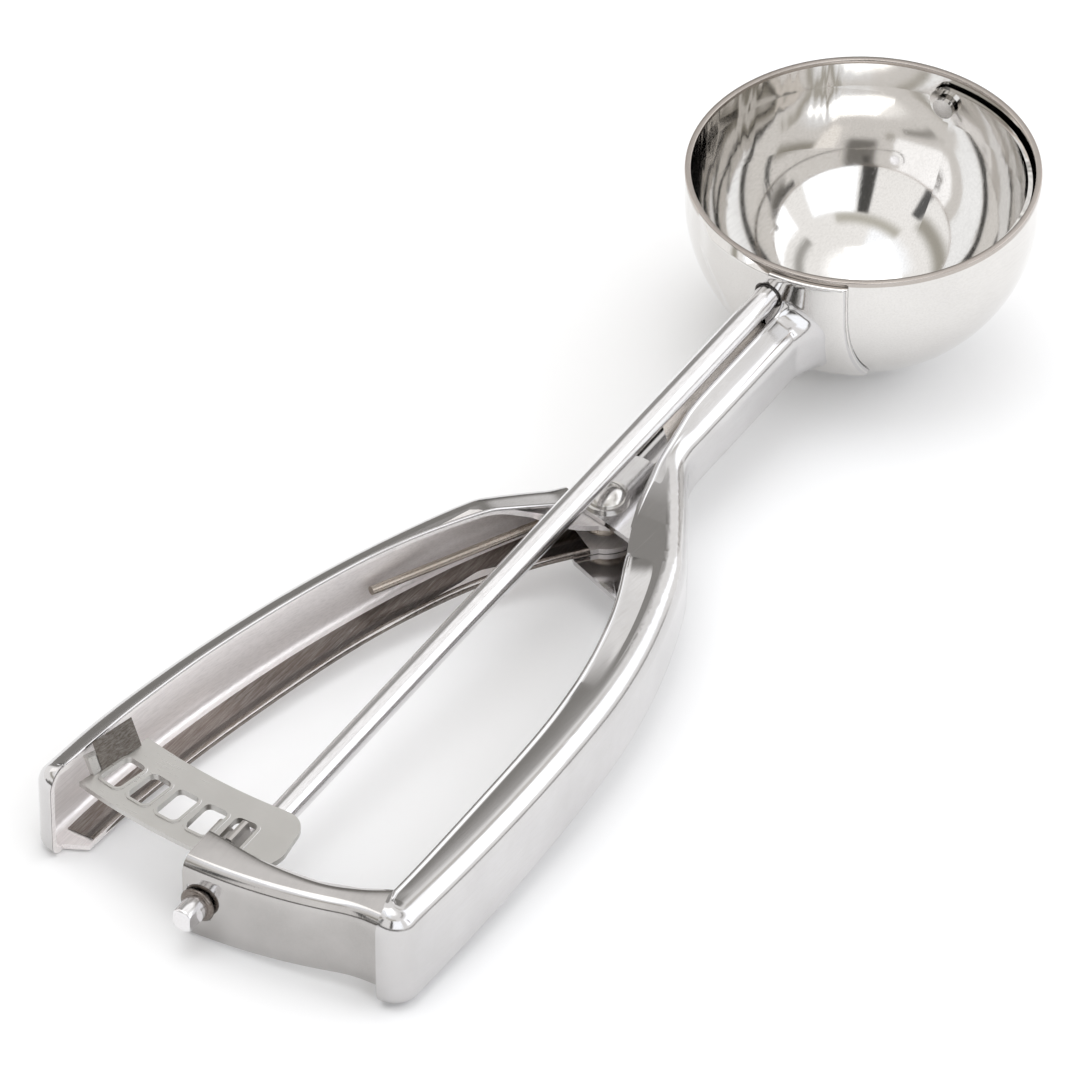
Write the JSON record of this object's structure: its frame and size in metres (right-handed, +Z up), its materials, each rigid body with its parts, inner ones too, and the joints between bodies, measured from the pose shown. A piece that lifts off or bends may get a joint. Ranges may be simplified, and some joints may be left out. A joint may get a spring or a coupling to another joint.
{
  "type": "lever ice cream scoop",
  "caption": "Squeeze-handle ice cream scoop: closing the sprung lever drives a windowed rack and pinion that turns a rod and sweeps a curved blade round a hemispherical bowl.",
  "frame": {"origin": "centre of the bounding box's base, on the surface the scoop lies on; the bowl and the rear corners of both handles touch that surface", "axes": "+X toward the bowl, along the scoop's length; +Y toward the moving handle's side; +Z up, roughly square to the bowl's rim"},
  "size_m": [0.2234, 0.0644, 0.0366],
  "materials": {
    "polished_steel": "gloss",
    "satin_steel": "satin",
    "spring_steel": "satin"
  },
  "bodies": {
    "frame": {"bowl": "polished_steel", "fixed_handle": "polished_steel", "end_bracket": "polished_steel", "hinge_rivet": "polished_steel", "hinge_washer": "satin_steel", "blade_stud": "polished_steel", "torsion_spring": "spring_steel"},
    "lever": {"moving_handle": "polished_steel", "rack_plate": "satin_steel", "spring_lever_leg": "spring_steel"},
    "sweep": {"sweep_rod": "polished_steel", "pinion": "satin_steel", "sweep_blade": "polished_steel"}
  },
  "joints": [
    {"name": "handle_pivot", "type": "hinge", "parent": "frame", "child": "lever", "pos_m": [0.00696, 0.00136, 0.0106], "axis": [-0.1101, 0.0549, 0.9924], "range_deg": [0, 12], "stiffness_Nm_per_rad": 0.9, "springref_deg": -20.05},
    {"name": "rod_spin", "type": "hinge", "parent": "frame", "child": "sweep", "pos_m": [-0.01689, 0.00171, 0.01701], "axis": [0.9939, 0.0061, 0.11], "range_deg": [0, 180]}
  ],
  "couplings": [
    {"joint": "rod_spin", "follows": "handle_pivot", "ratio": 15}
  ]
}
